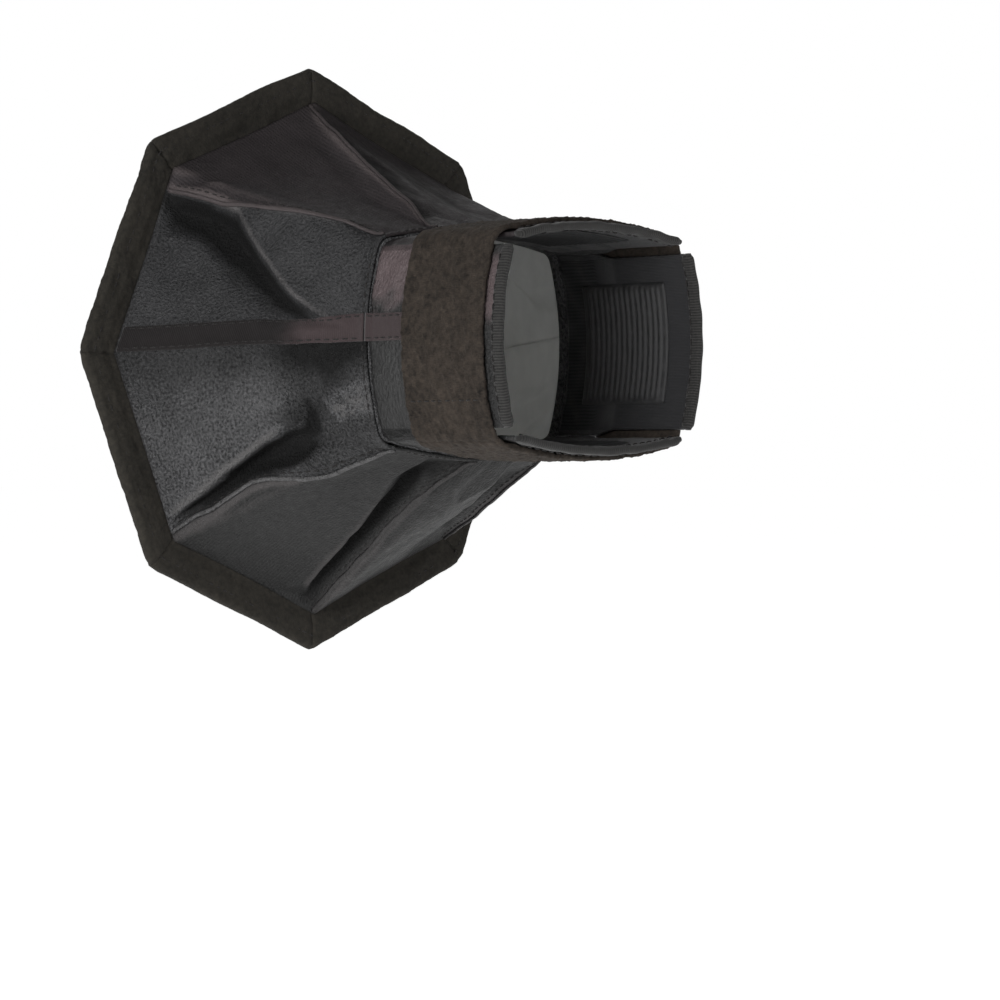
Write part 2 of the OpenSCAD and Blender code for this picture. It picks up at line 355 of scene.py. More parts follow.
class Shader:
    """One Principled material and short ways to add its nodes."""

    def __init__(self, name, **sockets):
        self.material = bpy.data.materials.new(name)
        self.material.use_nodes = True
        self.tree = self.material.node_tree
        self.shader = self.tree.nodes["Principled BSDF"]
        for socket, value in sockets.items():
            self.shader.inputs[socket.replace("_", " ")].default_value = value

    def node(self, kind, *inputs, **settings):
        """Adds a node. inputs are values or sockets for its first inputs, None to leave one."""
        n = self.tree.nodes.new(kind)
        for key, value in settings.items():
            setattr(n, key, value)
        for socket, value in zip(n.inputs, inputs):
            self.plug(value, socket)
        return n

    def plug(self, value, socket):
        if isinstance(value, bpy.types.NodeSocket):
            self.tree.links.new(value, socket)
        elif value is not None:
            socket.default_value = value

    def cloth(self):
        return self.node("ShaderNodeAttribute", attribute_name="cloth").outputs["Vector"]

    def wear_and_painted_light(self):
        return self.node("ShaderNodeAttribute", attribute_name="wear_and_painted_light").outputs["Fac"]

    def mapped(self, at, scale=None, turn=None):
        return self.node("ShaderNodeMapping", at, None, turn, scale).outputs[0]

    def local(self):
        """Places in the piece's own millimetres."""
        return self.mapped(self.node("ShaderNodeTexCoord").outputs["Object"], (1000,) * 3)

    def noise(self, at, scale, detail=2.0, rough=0.5):
        n = self.node("ShaderNodeTexNoise", at)
        for socket, value in (("Scale", scale), ("Detail", detail), ("Roughness", rough)):
            n.inputs[socket].default_value = value
        return n.outputs["Fac"]

    def cells(self, at, scale, feature="DISTANCE_TO_EDGE"):
        n = self.node("ShaderNodeTexVoronoi", at, feature=feature)
        n.inputs["Scale"].default_value = scale
        return n.outputs["Distance"]

    def math(self, operation, *values):
        return self.node("ShaderNodeMath", *values, operation=operation).outputs[0]

    def total(self, *terms):
        """The sum of (value, weight) terms."""
        parts = [value if weight == 1 else self.math("MULTIPLY", value, weight)
                 for value, weight in terms]
        while len(parts) > 1:
            parts[:2] = [self.math("ADD", *parts[:2])]
        return parts[0]

    def spread(self, value, a, b, c=0.0, d=1.0):
        """value's range a to b carried onto c to d, and held there."""
        return self.node("ShaderNodeMapRange", value, a, b, c, d).outputs[0]

    def mix(self, share, a, b):
        n = self.node("ShaderNodeMix", data_type="RGBA")
        for value, index in ((share, 0), (a, 6), (b, 7)):
            self.plug(value, n.inputs[index])
        return n.outputs[2]

    def weave(self, at, pitch):
        """Height of a plain weave whose threads are pitch millimetres apart."""
        split = self.node("ShaderNodeSeparateXYZ", at)
        a, b = [self.math("MULTIPLY", split.outputs[i], math.pi / pitch) for i in (0, 1)]
        over = self.math("MULTIPLY", self.math("SINE", a), self.math("SINE", b))
        warp = self.math("ABSOLUTE", self.math("SINE", a))
        weft = self.math("ABSOLUTE", self.math("SINE", b))
        share = self.math("GREATER_THAN", over, 0.0)
        turned = self.math("SUBTRACT", 1.0, share)
        return self.math("ADD", self.math("MULTIPLY", warp, share), self.math("MULTIPLY", weft, turned))

    def ribs(self, at, pitch, axis=0):
        split = self.node("ShaderNodeSeparateXYZ", at)
        wave = self.math("SINE", self.math("MULTIPLY", split.outputs[axis], TAU / pitch))
        return self.spread(wave, -1.0, 1.0)

    def made(self, colour, rough, *relief):
        """The finished material, with relief layers of (height, strength, distance in metres)."""
        normal = None
        for height, strength, distance in relief:
            n = self.node("ShaderNodeBump")
            for socket, value in (("Strength", strength), ("Distance", distance),
                                  ("Height", height), ("Normal", normal)):
                self.plug(value, n.inputs[socket])
            normal = n.outputs["Normal"]
        for socket, value in (("Base Color", colour), ("Roughness", rough), ("Normal", normal)):
            self.plug(value, self.shader.inputs[socket])
        return self.material


def rgb(r, g, b):
    """A colour from its 0 to 255 values, as the shader's linear RGBA."""
    return tuple((x / 255 / 12.92) if x < 11 else (((x / 255 + 0.055) / 1.055) ** 2.4)
                 for x in (r, g, b)) + (1.0,)


def leather(name, dark, light, paler, gloss, pebble=1.0, weave=0.0):
    """Coated leathercloth: pebbles over a weave, pale on its folds, where rubbed coating and a painted
    highlight go together, and painted shade in its hollows, where the wear attribute is below zero."""
    s = Shader(name, IOR=1.45, Specular_IOR_Level=0.22)
    at = s.cloth()
    noise = s.node("ShaderNodeTexNoise", at)
    noise.inputs["Scale"].default_value = 1.5
    bent = s.node("ShaderNodeVectorMath", at, noise.outputs["Color"], operation="ADD").outputs[0]
    pebbles = s.spread(s.cells(bent, 0.8), 0.0, 0.40)
    fine = s.noise(at, 1.05, 2.0, 0.6)
    lumps = s.noise(at, 0.35, 2.0, 0.55)
    blotch = s.noise(at, 0.05, 3.0, 0.55)
    threads = s.ribs(s.mapped(at, (1, 0.25, 1)), 1.3)
    tone = s.total((blotch, 0.6), (fine, 1.2 * pebble), (s.math("MULTIPLY", threads, fine), weave))
    middle = 0.3 + 0.6 * pebble
    colour = s.mix(s.spread(tone, middle - 0.3, middle + 0.3), rgb(*dark), rgb(*light))
    # Paler on crests: rubbed coating and a painted highlight together
    colour = s.mix(s.spread(s.total((s.wear_and_painted_light(), 1), (fine, 0.35)), 0.35, 1.2), colour, rgb(*paler))
    # Painted shade: near black where the attribute is below zero, in hollows and under folds
    hollow_shade = s.spread(s.wear_and_painted_light(), -0.75, -0.05, 0.96, 0.0)
    shine = s.spread(s.total((lumps, 1), (fine, 0.3)), 0.35, 0.85, gloss, gloss + 0.2)
    return s.made(s.mix(hollow_shade, colour, rgb(4, 4, 4)), s.total((shine, 1), (hollow_shade, 0.25)),
                  (threads, 0.6 * weave, 0.12 * MM), (lumps, 0.3 * pebble, 0.4 * MM),
                  (pebbles, 0.7 * pebble, 0.25 * MM), (fine, 1.0, 0.9 * pebble * MM))


def felt(name, dark, light, fibre, depth=0.35):
    """Brushed fabric: short fibres matted in every direction."""
    s = Shader(name, Specular_IOR_Level=0.2, Sheen_Weight=0.35, Sheen_Roughness=0.6)
    s.shader.inputs["Sheen Tint"].default_value = rgb(*light)
    at = s.cloth()
    strands = [s.noise(s.mapped(at, (fibre * 5, fibre * 0.9, 1), (0, 0, turn)), 1.0, 2.0, 0.6)
               for turn in (0.3, 1.35, 2.4)]
    mat = s.math("MAXIMUM", s.math("MAXIMUM", strands[0], strands[1]), strands[2])
    clumps = s.noise(at, 0.55, 3.0, 0.6)
    drift = s.noise(at, 0.06, 2.0, 0.5)
    tone = s.total((mat, 0.55), (clumps, 0.55), (drift, 0.25))
    return s.made(s.mix(s.spread(tone, 0.52, 0.98), rgb(*dark), rgb(*light)),
                  s.spread(mat, 0.3, 0.8, 0.86, 1.0),
                  (clumps, 0.6, depth * MM), (mat, 0.8, depth * 0.6 * MM))


def webbing(name, dark, light, paler, pitch, axis=0):
    """Narrow woven tape with ribs across it."""
    s = Shader(name, Specular_IOR_Level=0.12, Sheen_Weight=0.1)
    at = s.cloth()
    ribs = s.ribs(at, pitch, axis)
    lint = s.noise(at, 1.4, 3.0, 0.6)
    tone = s.total((ribs, 0.5), (lint, 0.7))
    colour = s.mix(s.spread(tone, 0.3, 0.95), rgb(*dark), rgb(*light))
    return s.made(s.mix(s.wear_and_painted_light(), colour, rgb(*paler)), s.spread(lint, 0.3, 0.7, 0.62, 0.85),
                  (ribs, 0.6, 0.12 * MM), (s.weave(at, 0.32), 0.4, 0.06 * MM), (lint, 0.3, 0.05 * MM))


def silver_cloth():
    """Metallised lining, creased into small facets."""
    s = Shader("silver_lining_cloth", Metallic=0.85)
    at = s.cloth()
    smudge = s.noise(at, 0.08, 3.0, 0.6)
    return s.made(s.mix(smudge, rgb(172, 174, 178), rgb(214, 215, 216)),
                  s.spread(smudge, 0.3, 0.7, 0.3, 0.48),
                  (s.cells(at, 0.05, "F1"), 0.5, 1.2 * MM), (s.cells(at, 0.12, "F1"), 0.4, 0.5 * MM),
                  (s.weave(at, 0.4), 0.3, 0.05 * MM))


def diffuser_cloth():
    """White nylon that lets some light through, with a ripstop grid."""
    s = Shader("white_diffuser_nylon", Specular_IOR_Level=0.3, Sheen_Weight=0.2)
    at = s.cloth()
    split = s.node("ShaderNodeSeparateXYZ", at)
    crossing = [s.math("COSINE", s.math("MULTIPLY", split.outputs[axis], TAU / 5)) for axis in (0, 1)]
    grid = s.math("MAXIMUM", *[s.spread(wave, 0.93, 0.99) for wave in crossing])
    threads = s.weave(at, 0.3)
    cloud = s.noise(at, 0.04, 3.0, 0.5)
    colour = s.mix(cloud, rgb(226, 225, 221), rgb(240, 240, 237))
    colour = s.mix(s.math("MULTIPLY", grid, 0.5), colour, rgb(250, 250, 250))
    through = s.node("ShaderNodeBsdfTranslucent", colour)
    both = s.node("ShaderNodeMixShader", 0.4, s.shader.outputs[0], through.outputs[0])
    s.tree.links.new(both.outputs[0], s.tree.nodes["Material Output"].inputs["Surface"])
    return s.made(colour, s.spread(threads, 0.0, 1.0, 0.5, 0.66),
                  (grid, 0.5, 0.08 * MM), (threads, 0.3, 0.04 * MM))


def rubber(name, dark, light):
    """Soft rubber with a fine moulded texture and dust in its low places."""
    s = Shader(name, Specular_IOR_Level=0.4)
    at = s.cloth()
    dust = s.noise(at, 0.35, 4.0, 0.65)
    return s.made(s.mix(s.spread(dust, 0.4, 0.75), rgb(*dark), rgb(*light)),
                  s.spread(dust, 0.3, 0.7, 0.6, 0.82),
                  (s.cells(at, 1.6, "F1"), 0.4, 0.1 * MM), (dust, 0.2, 0.05 * MM))


def hook_plastic():
    s = Shader("hook_nylon", Specular_IOR_Level=0.5)
    at = s.cloth()
    speck = s.noise(at, 2.5, 3.0, 0.6)
    return s.made(s.mix(speck, rgb(14, 14, 14), rgb(34, 34, 35)),
                  s.spread(speck, 0.3, 0.7, 0.35, 0.55),
                  (s.ribs(at, 1.5), 0.3, 0.1 * MM), (speck, 0.2, 0.04 * MM))


def metal(name, dark, light, rough):
    """Rolled strip metal with marks along its length."""
    s = Shader(name, Metallic=1.0)
    at = s.local()
    drawn = s.noise(s.mapped(at, (0.5, 8, 0.5)), 1.0, 3.0)
    spots = s.noise(at, 0.3, 4.0, 0.6)
    return s.made(s.mix(spots, rgb(*dark), rgb(*light)), s.spread(drawn, 0.3, 0.7, rough, rough + 0.18),
                  (drawn, 0.3, 0.02 * MM), (spots, 0.15, 0.03 * MM))


def thread_twist():
    """Twisted polyester thread."""
    s = Shader("sewing_thread", Specular_IOR_Level=0.1, Sheen_Weight=0.05)
    at = s.local()
    ply = s.ribs(s.mapped(at, turn=(0.6,) * 3), 0.45)
    lint = s.noise(at, 1.3, 2.0)
    return s.made(s.mix(s.math("MULTIPLY", ply, lint), rgb(24, 23, 23), rgb(50, 48, 47)),
                  s.spread(lint, 0.3, 0.7, 0.5, 0.7), (ply, 0.6, 0.08 * MM))


def studio_floor():
    """White paper, which glows a little so that it is as pale as the photograph's ground."""
    s = Shader("pale_floor", Specular_IOR_Level=0.15)
    s.shader.inputs["Emission Color"].default_value = (1, 1, 1, 1)
    s.shader.inputs["Emission Strength"].default_value = 0.87
    soft = s.noise(s.node("ShaderNodeTexCoord").outputs["Object"], 3.0, 3.0)
    return s.made(s.mix(soft, rgb(236, 236, 236), rgb(243, 243, 243)),
                  s.spread(soft, 0.3, 0.7, 0.75, 0.85))


# Copies of one leathercloth whose colours hold painted light: palest on the near lower panel and darker,
# in painted shade, on the others, the top and low ones most, besides their own pebble and weave
lit_near_leather = leather("leathercloth", (27, 27, 28), (80, 80, 81), (76, 75, 75), 0.40, 1.3)
shaded_mid_leather = leather("leathercloth_fine", (18, 18, 19), (53, 53, 54), (74, 72, 72), 0.45, 0.9)
shaded_low_leather = leather("leathercloth_low", (14, 14, 14), (37, 37, 37), (56, 54, 54), 0.5, 0.8, 0.5)
shaded_top_leather = leather("leathercloth_top", (24, 22, 23), (44, 40, 41), (70, 64, 64), 0.55, 0.4, 0.7)
sleeve_leather = leather("leathercloth_sleeve", (24, 24, 24), (50, 50, 50), (82, 72, 73), 0.42, 0.9)
nylon = webbing("flap_lining_nylon", (22, 22, 23), (40, 40, 42), (60, 60, 60), 0.6)
tape_cloth = webbing("seam_tape_cloth", (8, 8, 8), (20, 19, 19), (62, 52, 53), 0.6, axis=1)
binding_cloth = webbing("binding_grosgrain", (18, 18, 18), (50, 49, 48), (62, 60, 60), 0.9)
hem_felt = felt("hem_felt", (18, 17, 15), (46, 43, 38), 0.7, 0.3)
strap_felt = felt("strap_loop_felt", (6, 5, 4), (58, 51, 45), 0.6, 0.6)
silver = silver_cloth()
white_nylon = diffuser_cloth()
grip_rubber = rubber("grip_rubber", (20, 20, 21), (44, 44, 45))
hooks_material = hook_plastic()
thread = thread_twist()


# ---------------------------------------------------------------- the cone's folded wall

# Each seam's way from the hem to the waist: (t in hundredths, s off its corner in hundredths,
# lift in millimetres)
SEAMS = [
    [(0, 7, 0), (30, 8, -0.8), (62, 10, -1.2), (78, 10, 0.4), (100, 12, 0)],
    [(0, -12, 0.8), (15, -12, 3), (32, -12, 3.4), (48, -8, 3.4), (67, -2, 3), (85, 4, 2), (100, 8, 0.4)],
    [(0, -4, 0.8), (32, -14, 2.8), (61, -22, 2.6), (82, -26, 1.6), (100, -36, 0)],
    [(0, 3, 0.8), (30, 8, 2.6), (60, 2, 2.8), (90, -4, 1.6), (100, -5, 0.3)],
    [(0, -6, 0), (35, -7, -0.8), (70, -8, -0.6), (100, -10, 0)],
    [(0, 2, 0.6), (30, 9, 2.4), (60, 12, 2.6), (85, 5, 2.2), (100, 3, 0.8)],
    [(0, 2, 0.8), (15, 6, 2.4), (30, 8, 3), (44, 9, 3), (64, 13, 3), (80, 13, 2.8), (90, 6, 2),
     (100, -6, 0.8)],
    [(0, 4, 0.8), (14, 7, 2), (23, 7, 2.4), (35, 10, 2.6), (44, 12, 2.8), (53, 10, 3), (65, 2, 3),
     (76, -6, 2.8), (89, -12, 2), (100, -20, 0.6)],
]

# The lines along which each panel's slack cloth folds, crests and hollows: (s from the panel's
# first corner in hundredths, t in hundredths, lift in millimetres)
FOLDS = [
    [[(86, 37.5, 3), (72, 47, 2.2), (56, 59, 2), (38, 71, 1.8), (28, 80, 1.5), (20, 89, 1)], [(85, 3, -4),
     (84.8, 13, -6.5), (84.6, 26, -7), (80, 33.5, -7.5), (68, 43, -7.5), (54, 53, -6.5), (38, 64, -5),
     (26, 75, -3), (17, 84, -1.2)], [(79, 7, -5), (78, 18, -6.2), (71, 30, -6.2), (54, 41, -4.8)],
     [(66, 6, -2), (65, 19, -2.6), (56, 30, -2.8), (40, 40, -2.2)], [(36, 10, -1.2), (30, 28, -1.4)],
     [(90, 62, 1.8), (84, 75, 1.4), (74, 90, 0.8)], [(50, 88, 0.8)]],
    [[(50, 12, -0.8), (42, 40, -2.2), (38, 70, -1.6)], [(80, 15, -1.2), (72, 40, -2.2), (64, 66, -2)],
     [(12, 30, -1), (18, 60, -0.8)]],
    [[(5, 8, -2), (-1, 28, -5), (-9, 58, -5.5), (-14, 80, -4)], [(36, 14, -2.6), (28, 40, -3.2),
     (18, 66, -2.6)], [(62, 20, -2.5), (66, 50, -3.5), (55, 80, -2)], [(84, 30, -1)], [(40, 90, -0.5)]],
    [[(15, 10, -3), (21, 28, -5.5), (24, 46, -6), (34, 62, -5), (50, 76, -3)], [(36, 40, 1.4),
     (48, 56, 1.4), (64, 72, 1)], [(60, 20, -1.4), (74, 45, -1.8)], [(20, 84, 1.4)]],
    [[(30, 12, 0.4), (22, 42, 1.4), (30, 70, 1.2)], [(44, 20, -1.2), (44, 45, -2.2), (44, 78, -1.8)],
     [(62, 18, 1), (68, 45, 1.6), (60, 72, 1.2)], [(90, 10, -2.5), (96, 30, -5), (98, 56, -5.5),
     (88, 80, -3.5)]],
    [[(60, 25, 1.5), (70, 50, 3.5), (80, 75, 5), (92, 90, 4)], [(35, 40, 0.5), (45, 65, 3), (50, 85, 4)],
     [(22, 30, -2.6), (26, 60, -3)]],
    [[(7.5, 3, -2.5), (11.5, 14, -4), (14, 32, -5), (16.5, 50, -5), (20, 66, -5.4), (23, 80, -5.6),
     (20, 90, -4.4), (6, 96, -1.5)], [(18, 13, 0.8), (22, 30, 1.5), (27, 50, 1.8), (35, 68, 1.6),
     (44, 84, 0.6)], [(60, 30, 0.8), (72, 52, 0.8)], [(76, 74, 0)], [(62, 92, 0)]],
    [[(10, 2, 0.6), (14.5, 12, 1.5), (21, 27, 2), (28, 44, 2.2), (35, 57, 2.4), (43, 69, 2.6),
     (60, 67, 1.6), (80, 64, 0.8), (95, 62, 0.3)], [(7, 3.5, -3), (9.5, 13, -5), (11, 24, -6),
     (14.5, 36, -6.5), (16, 46, -7), (15, 56, -6.5), (16, 66, -5.5), (27, 74, -4.6)], [(20, 38, -6.5),
     (25, 50, -6.8), (28, 62, -5.6), (27, 74, -4.6)], [(27, 74, -4.6), (46, 77, -3.6), (62, 75.5, -3.2),
     (78, 73, -2.8), (90, 71, -1.5)], [(27, 74, -4.6), (16, 82, -4), (4, 92, -2.2)], [(30, 91, -2),
     (50, 93, -0.5), (74, 92, 0.2)], [(12, 97, 0)], [(34, 12, 1), (46, 35, 1.5), (62, 56, 1.6)],
     [(70, 15, 0.3)], [(80, 45, 0.8)]],
]
PANEL_N, WALL_M, LAP_M = 72, 96, 5
SMOOTHING = 2


def seam_at(k, t):
    """s of seam k at the places t along it."""
    along, across, _ = np.array(SEAMS[k % 8]).T / 100
    return k + np.interp(t, along, across)


def net_lifts(lines, s, t):
    """Lift at each (s, t), on flat facets between lines of (s, t, lift)."""
    net = [place for line in lines for place in line]
    starts = np.cumsum([0] + [len(line) for line in lines])
    edges = [(a + i, a + i + 1) for a, line in zip(starts, lines) for i in range(len(line) - 1)]
    spots = [Vector((a, b)) for a, b, _ in net]
    found = delaunay_2d_cdt(spots, edges, [], 0, 1e-6)
    source = [original[0] for original in found[3]]
    value = np.array([net[i][2] for i in source])
    corner = np.array([(v.x, v.y) for v in found[0]])
    lift = np.zeros_like(s)
    best = np.full_like(s, -1e9)
    for tri in found[2]:
        a, b, c = corner[list(tri)]
        m = np.array([b - a, c - a]).T
        if abs(np.linalg.det(m)) < 1e-9:
            continue
        w = np.linalg.inv(m) @ np.stack([s.ravel() - a[0], t.ravel() - a[1]])
        w = np.concatenate([[1 - w.sum(0)], w])
        inside = w.min(0).reshape(s.shape)
        here = (value[list(tri)] @ np.clip(w, -0.2, 1.2)).reshape(s.shape)
        lift = np.where(inside > best, here, lift)
        best = np.maximum(best, inside)
    return lift


def wall_grid():
    """The cone's outer face as a grid of points: columns round it, rows from hem to waist."""
    lap = (LAP_END_Y - CONE_END_Y) / (CONE_END_Y - HEM_BACK_Y)
    t = np.concatenate([np.linspace(0, 1, WALL_M + 1), 1 + np.linspace(0, lap, LAP_M + 1)[1:]])
    u = np.linspace(0, 1, PANEL_N + 1)[:-1, None]
    grids = []
    for i in range(8):
        left, right = seam_at(i, t)[None], seam_at(i + 1, t)[None]
        s, tt = left + (right - left) * u, np.broadcast_to(t, (PANEL_N, len(t)))
        net = [[(k + off / 100, at / 100, up) for at, off, up in SEAMS[k % 8]] for k in (i, i + 1)]
        net += [[(i + x, e, 0)] for x in (0.35, 0.65) for e in (0, 1)]
        net += [[(i + x / 100, at / 100, up) for x, at, up in line] for line in FOLDS[i]]
        grids.append((s, tt, net_lifts(net, s, np.minimum(tt, 1)) * MM))
    s, t, lift = [np.concatenate([g[c] for g in grids]) for c in range(3)]
    plain, out = cone_at(s, t)
    hold = np.clip(np.minimum(t / 0.04, (1 - t) / 0.04), 0, 1)
    puckers = 0.12 * MM * waves(plain, 11 * MM, seed=1) + 0.05 * MM * waves(plain, 4 * MM, seed=2)
    lift = lift + puckers * hold
    near = np.mod(s - 7.95, 8)
    near = np.minimum(near, 8 - near)
    crumple = bump(near, 0, 0.35) * bump(t, 0.78, 0.16)
    crinkle = bump(s, 7.42, 0.4) * bump(t, 0.93, 0.16)
    lift += 0.5 * MM * crumple * waves(plain, 6 * MM, seed=4)
    lift += 0.6 * MM * crinkle * waves(plain, 3.5 * MM, seed=5)
    grid = plain + out * lift[..., None]
    for _ in range(SMOOTHING):
        middle = (np.roll(grid, 1, 0) + np.roll(grid, -1, 0))[:, 1:-1] + grid[:, 2:] + grid[:, :-2]
        grid[:, 1:-1] += 0.6 * (middle / 4 - grid[:, 1:-1])
    return grid, out, s, t


wall, wall_out, wall_s, wall_t = wall_grid()
wall_normal = normals_of(wall)


def highest_near(field, reach):
    """The largest value of a field round the wall within reach columns and rows."""
    top = field
    for d in range(1, reach + 1):
        top = np.maximum(top, np.maximum(np.roll(field, d, 0), np.roll(field, -d, 0)))
    wide = np.pad(top, ((0, 0), (reach, reach)), mode="edge")
    return np.max([wide[:, d:d + top.shape[1]] for d in range(2 * reach + 1)], axis=0)


def painted_panel_shade():
    """Painted shade on panels 1 and 8: beside the tape, next to the waist, in panel 8's pit and below
    panel 1's top seam."""
    number = np.arange(8 * PANEL_N)[:, None] // PANEL_N + 1
    by_waist = step_up(wall_t, 0.8, 0.88)
    panel_shade = 0.18 * step_up(wall_s, 7.3, 7.5) + 0.34 * step_up(wall_s, 7.64, 7.94)
    panel_shade += 0.32 * bump(wall_t, 0.81, 0.24) * step_up(wall_s, 7.4, 7.6)
    panel_shade += 0.2 * by_waist * step_up(wall_s, 7.56, 7.66)
    below = (number == 8) * fade(wall_s + 0.2 * by_waist, 7.42, 7.58)
    panel_shade += 0.42 * step_up(wall_t, 0.56, 0.7) * below
    crest = 0.05 + 0.55 * wall_t
    pit = (number == 8) * fade((wall_s - 7) / crest, 0.5, 0.95) * fade(wall_t, 0.5, 0.68)
    notch = (number == 1) * step_up(wall_s, 0.72, 0.84) * fade(wall_t, 0.2, 0.3)
    return np.maximum(panel_shade, np.maximum(0.6 * pit, 0.66 * notch))


def crests_and_shade(grid):
    """The wall's wear and painted light: up to 1 where it is sharply out, rubbed coating with a painted
    highlight, down to -1 for painted shade where it is deep in a hollow, close under a fold or in
    panels 1 and 8's painted shade."""
    middle = (np.roll(grid, 4, 0) + np.roll(grid, -4, 0)) / 2
    bulge = ((grid - middle) * wall_normal).sum(-1)
    plain, out = cone_at(wall_s, wall_t)
    lift = ((grid - plain) * out).sum(-1)
    # Painted shade close under a fold, and in deep hollows
    under = np.clip((highest_near(lift, 6) - lift - 2.0 * MM) / (3.2 * MM), 0, 1)
    hollow_shade = np.maximum(under, np.clip((-lift - 2 * MM) / (4 * MM), 0, 1))
    for _ in range(6):
        hollow_shade[:, 1:-1] = (np.roll(hollow_shade, 1, 0) + np.roll(hollow_shade, -1, 0) + 2 * hollow_shade)[:, 1:-1] / 8 + (
            hollow_shade[:, 2:] + hollow_shade[:, :-2] + 2 * hollow_shade[:, 1:-1]) / 8
    crinkled = bump(wall_s, 7.42, 0.4) * bump(wall_t, 0.93, 0.16)
    # Painted highlights: glints on the crinkles by the waist
    glinting_crinkles = 0.7 * crinkled * np.clip(waves(plain, 3 * MM, seed=6), 0, 1)
    # A paler patch on panel 8 by the waist
    pale_by_waist = 0.6 * bump(wall_s, 7.46, 0.24) * step_up(wall_t, 0.8, 0.88)
    panel_shade = painted_panel_shade()
    # Crests paled by rubbed coating and a painted highlight, less where shade is painted
    pale_crests_and_glints = np.clip(bulge / (1.6 * MM) + glinting_crinkles + pale_by_waist, 0, 1) * fade(panel_shade, 0.1, 0.5)
    return pale_crests_and_glints - np.maximum(hollow_shade, panel_shade)


# The wall's rubbing, painted highlights and painted shade
wall_wear_and_light = crests_and_shade(wall)


def wall_slice(k, skip=1):
    """Column numbers of panel k's part of the wall, with both its seams."""
    return np.arange(k * PANEL_N, (k + 1) * PANEL_N + 1, skip) % (8 * PANEL_N)


# The flat cuts' nominal length, and their spacing side by side, for the grain of the cloth
PANEL_LEN_MM, PANEL_SPACE_MM = 85, 150


def cloth_places(k, columns):
    """Each wall point's place on the panel's flat cut, in millimetres."""
    across = distance_along(wall[columns])
    across -= across[len(across) // 2]
    along = np.linspace(0, 1, across.shape[1]) * PANEL_LEN_MM
    return places(across / MM + PANEL_SPACE_MM * k, along, 0)


PANEL_T, LINING_DEPTH, LINING_T = 1.0 * MM, 1.5 * MM, 0.3 * MM
LINING_ROWS = slice(0, WALL_M + 1, 2)
CLOTHS = [shaded_mid_leather, shaded_top_leather, shaded_top_leather, shaded_top_leather, shaded_mid_leather, shaded_low_leather,
          shaded_low_leather, lit_near_leather]


def panel_sheet(name, k, face, back, cloth, dressing, wear_and_painted_light=None):
    """A wall panel or its lining: one sheet held between the hem's spring and the waist."""
    sheet = shell(f"{name}_{k + 1}", face, back, cloth, wear_and_painted_light)
    ride(sheet, "rim", *dressing)
    folds(sheet)


for k in range(8):
    columns = wall_slice(k)
    outer, out = wall[columns], wall_out[columns]
    panel_sheet("wall_panel", k, outer, outer - out * PANEL_T, cloth_places(k, columns),
                ("panel_leather", [f"panel_{k + 1}"], CLOTHS[k]), wall_wear_and_light[columns])
    columns = wall_slice(k, 2)
    out = wall_out[columns][:, LINING_ROWS]
    face = wall[columns][:, LINING_ROWS] - out * LINING_DEPTH
    panel_sheet("silver_lining", k, face, face - out * LINING_T,
                cloth_places(k, columns)[:, LINING_ROWS], ("silver_lining", [f"lining_{k + 1}"], silver))


def along_seam(k, across, lift):
    """Points on the wall at distances across from seam k, one row for each wall row, raised
    by lift, and the normals there."""
    reach = 14
    columns = np.arange(k * PANEL_N - reach, k * PANEL_N + reach + 1) % (8 * PANEL_N)
    strip, strip_n = wall[columns], wall_normal[columns]
    way = distance_along(strip)
    way -= way[reach]
    points, normals = [], []
    for j in range(strip.shape[1]):
        p = [np.interp(across, way[:, j], strip[:, j, c]) for c in range(3)]
        n = [np.interp(across, way[:, j], strip_n[:, j, c]) for c in range(3)]
        points.append(np.stack(p, -1))
        normals.append(np.stack(n, -1))
    points, normals = np.array(points), np.array(normals)
    normals /= np.linalg.norm(normals, axis=-1, keepdims=True)
    return points + normals * np.asarray(lift)[..., None], normals


TAPE_W, TAPE_STITCH_X = 9 * MM, 3.5 * MM
FLAT_SEAMS = (0, 4)


def seam_piece(k, width, height, radius, material, name):
    """A strip of cloth lying along seam k."""
    section = rounded(width, height, radius, 0.7 * MM, 3)
    rows = slice(1, WALL_M + LAP_M)
    rings = along_seam(k, section[:, 0], section[:, 1] + height / 2 - 0.1 * MM)[0][rows]
    across, up = section.T / MM
    cloth = places(across, np.linspace(0, 80, len(rings))[:, None], up)
    # Paler on top: a painted highlight on a ridge seam's crest; a flat tape grows paler towards the waist
    paler = 0.08 + 0.5 * step_up(wall_t[0, rows], 0.66, 0.8)[:, None] if k in FLAT_SEAMS else 0.6
    crest = np.broadcast_to((up > 0) * paler, rings.shape[:2])
    piece = tube(name, rings, cloth, wear_and_painted_light=crest)
    folds(ride(piece, "rim", "seam_webbing", [f"seam_tape_{k + 1}"], material))


for k in range(8):
    if k in FLAT_SEAMS:
        seam_piece(k, TAPE_W, 0.6 * MM, 0.28 * MM, tape_cloth, f"flat_seam_tape_{k + 1}")
        rows = [along_seam(k, np.array([a]), np.array([0.55 * MM]))
                for a in (-TAPE_STITCH_X, TAPE_STITCH_X)]
    else:
        seam_piece(k, 1.4 * MM, 1.0 * MM, 0.48 * MM, CLOTHS[k], f"ridge_seam_{k + 1}")
        rows = [along_seam(k, np.array([2.3 * MM]), np.array([0.0]))]
    lines = [(p[3:-2, 0], n[3:-2, 0]) for p, n in rows]
    folds(stitches(f"seam_stitches_{k + 1}", lines, "rim"))


# ---------------------------------------------------------------- the hem

SHARP_R, SOFT_R = 2.5 * MM, 8 * MM
SHARP_CORNERS = (2, 6)


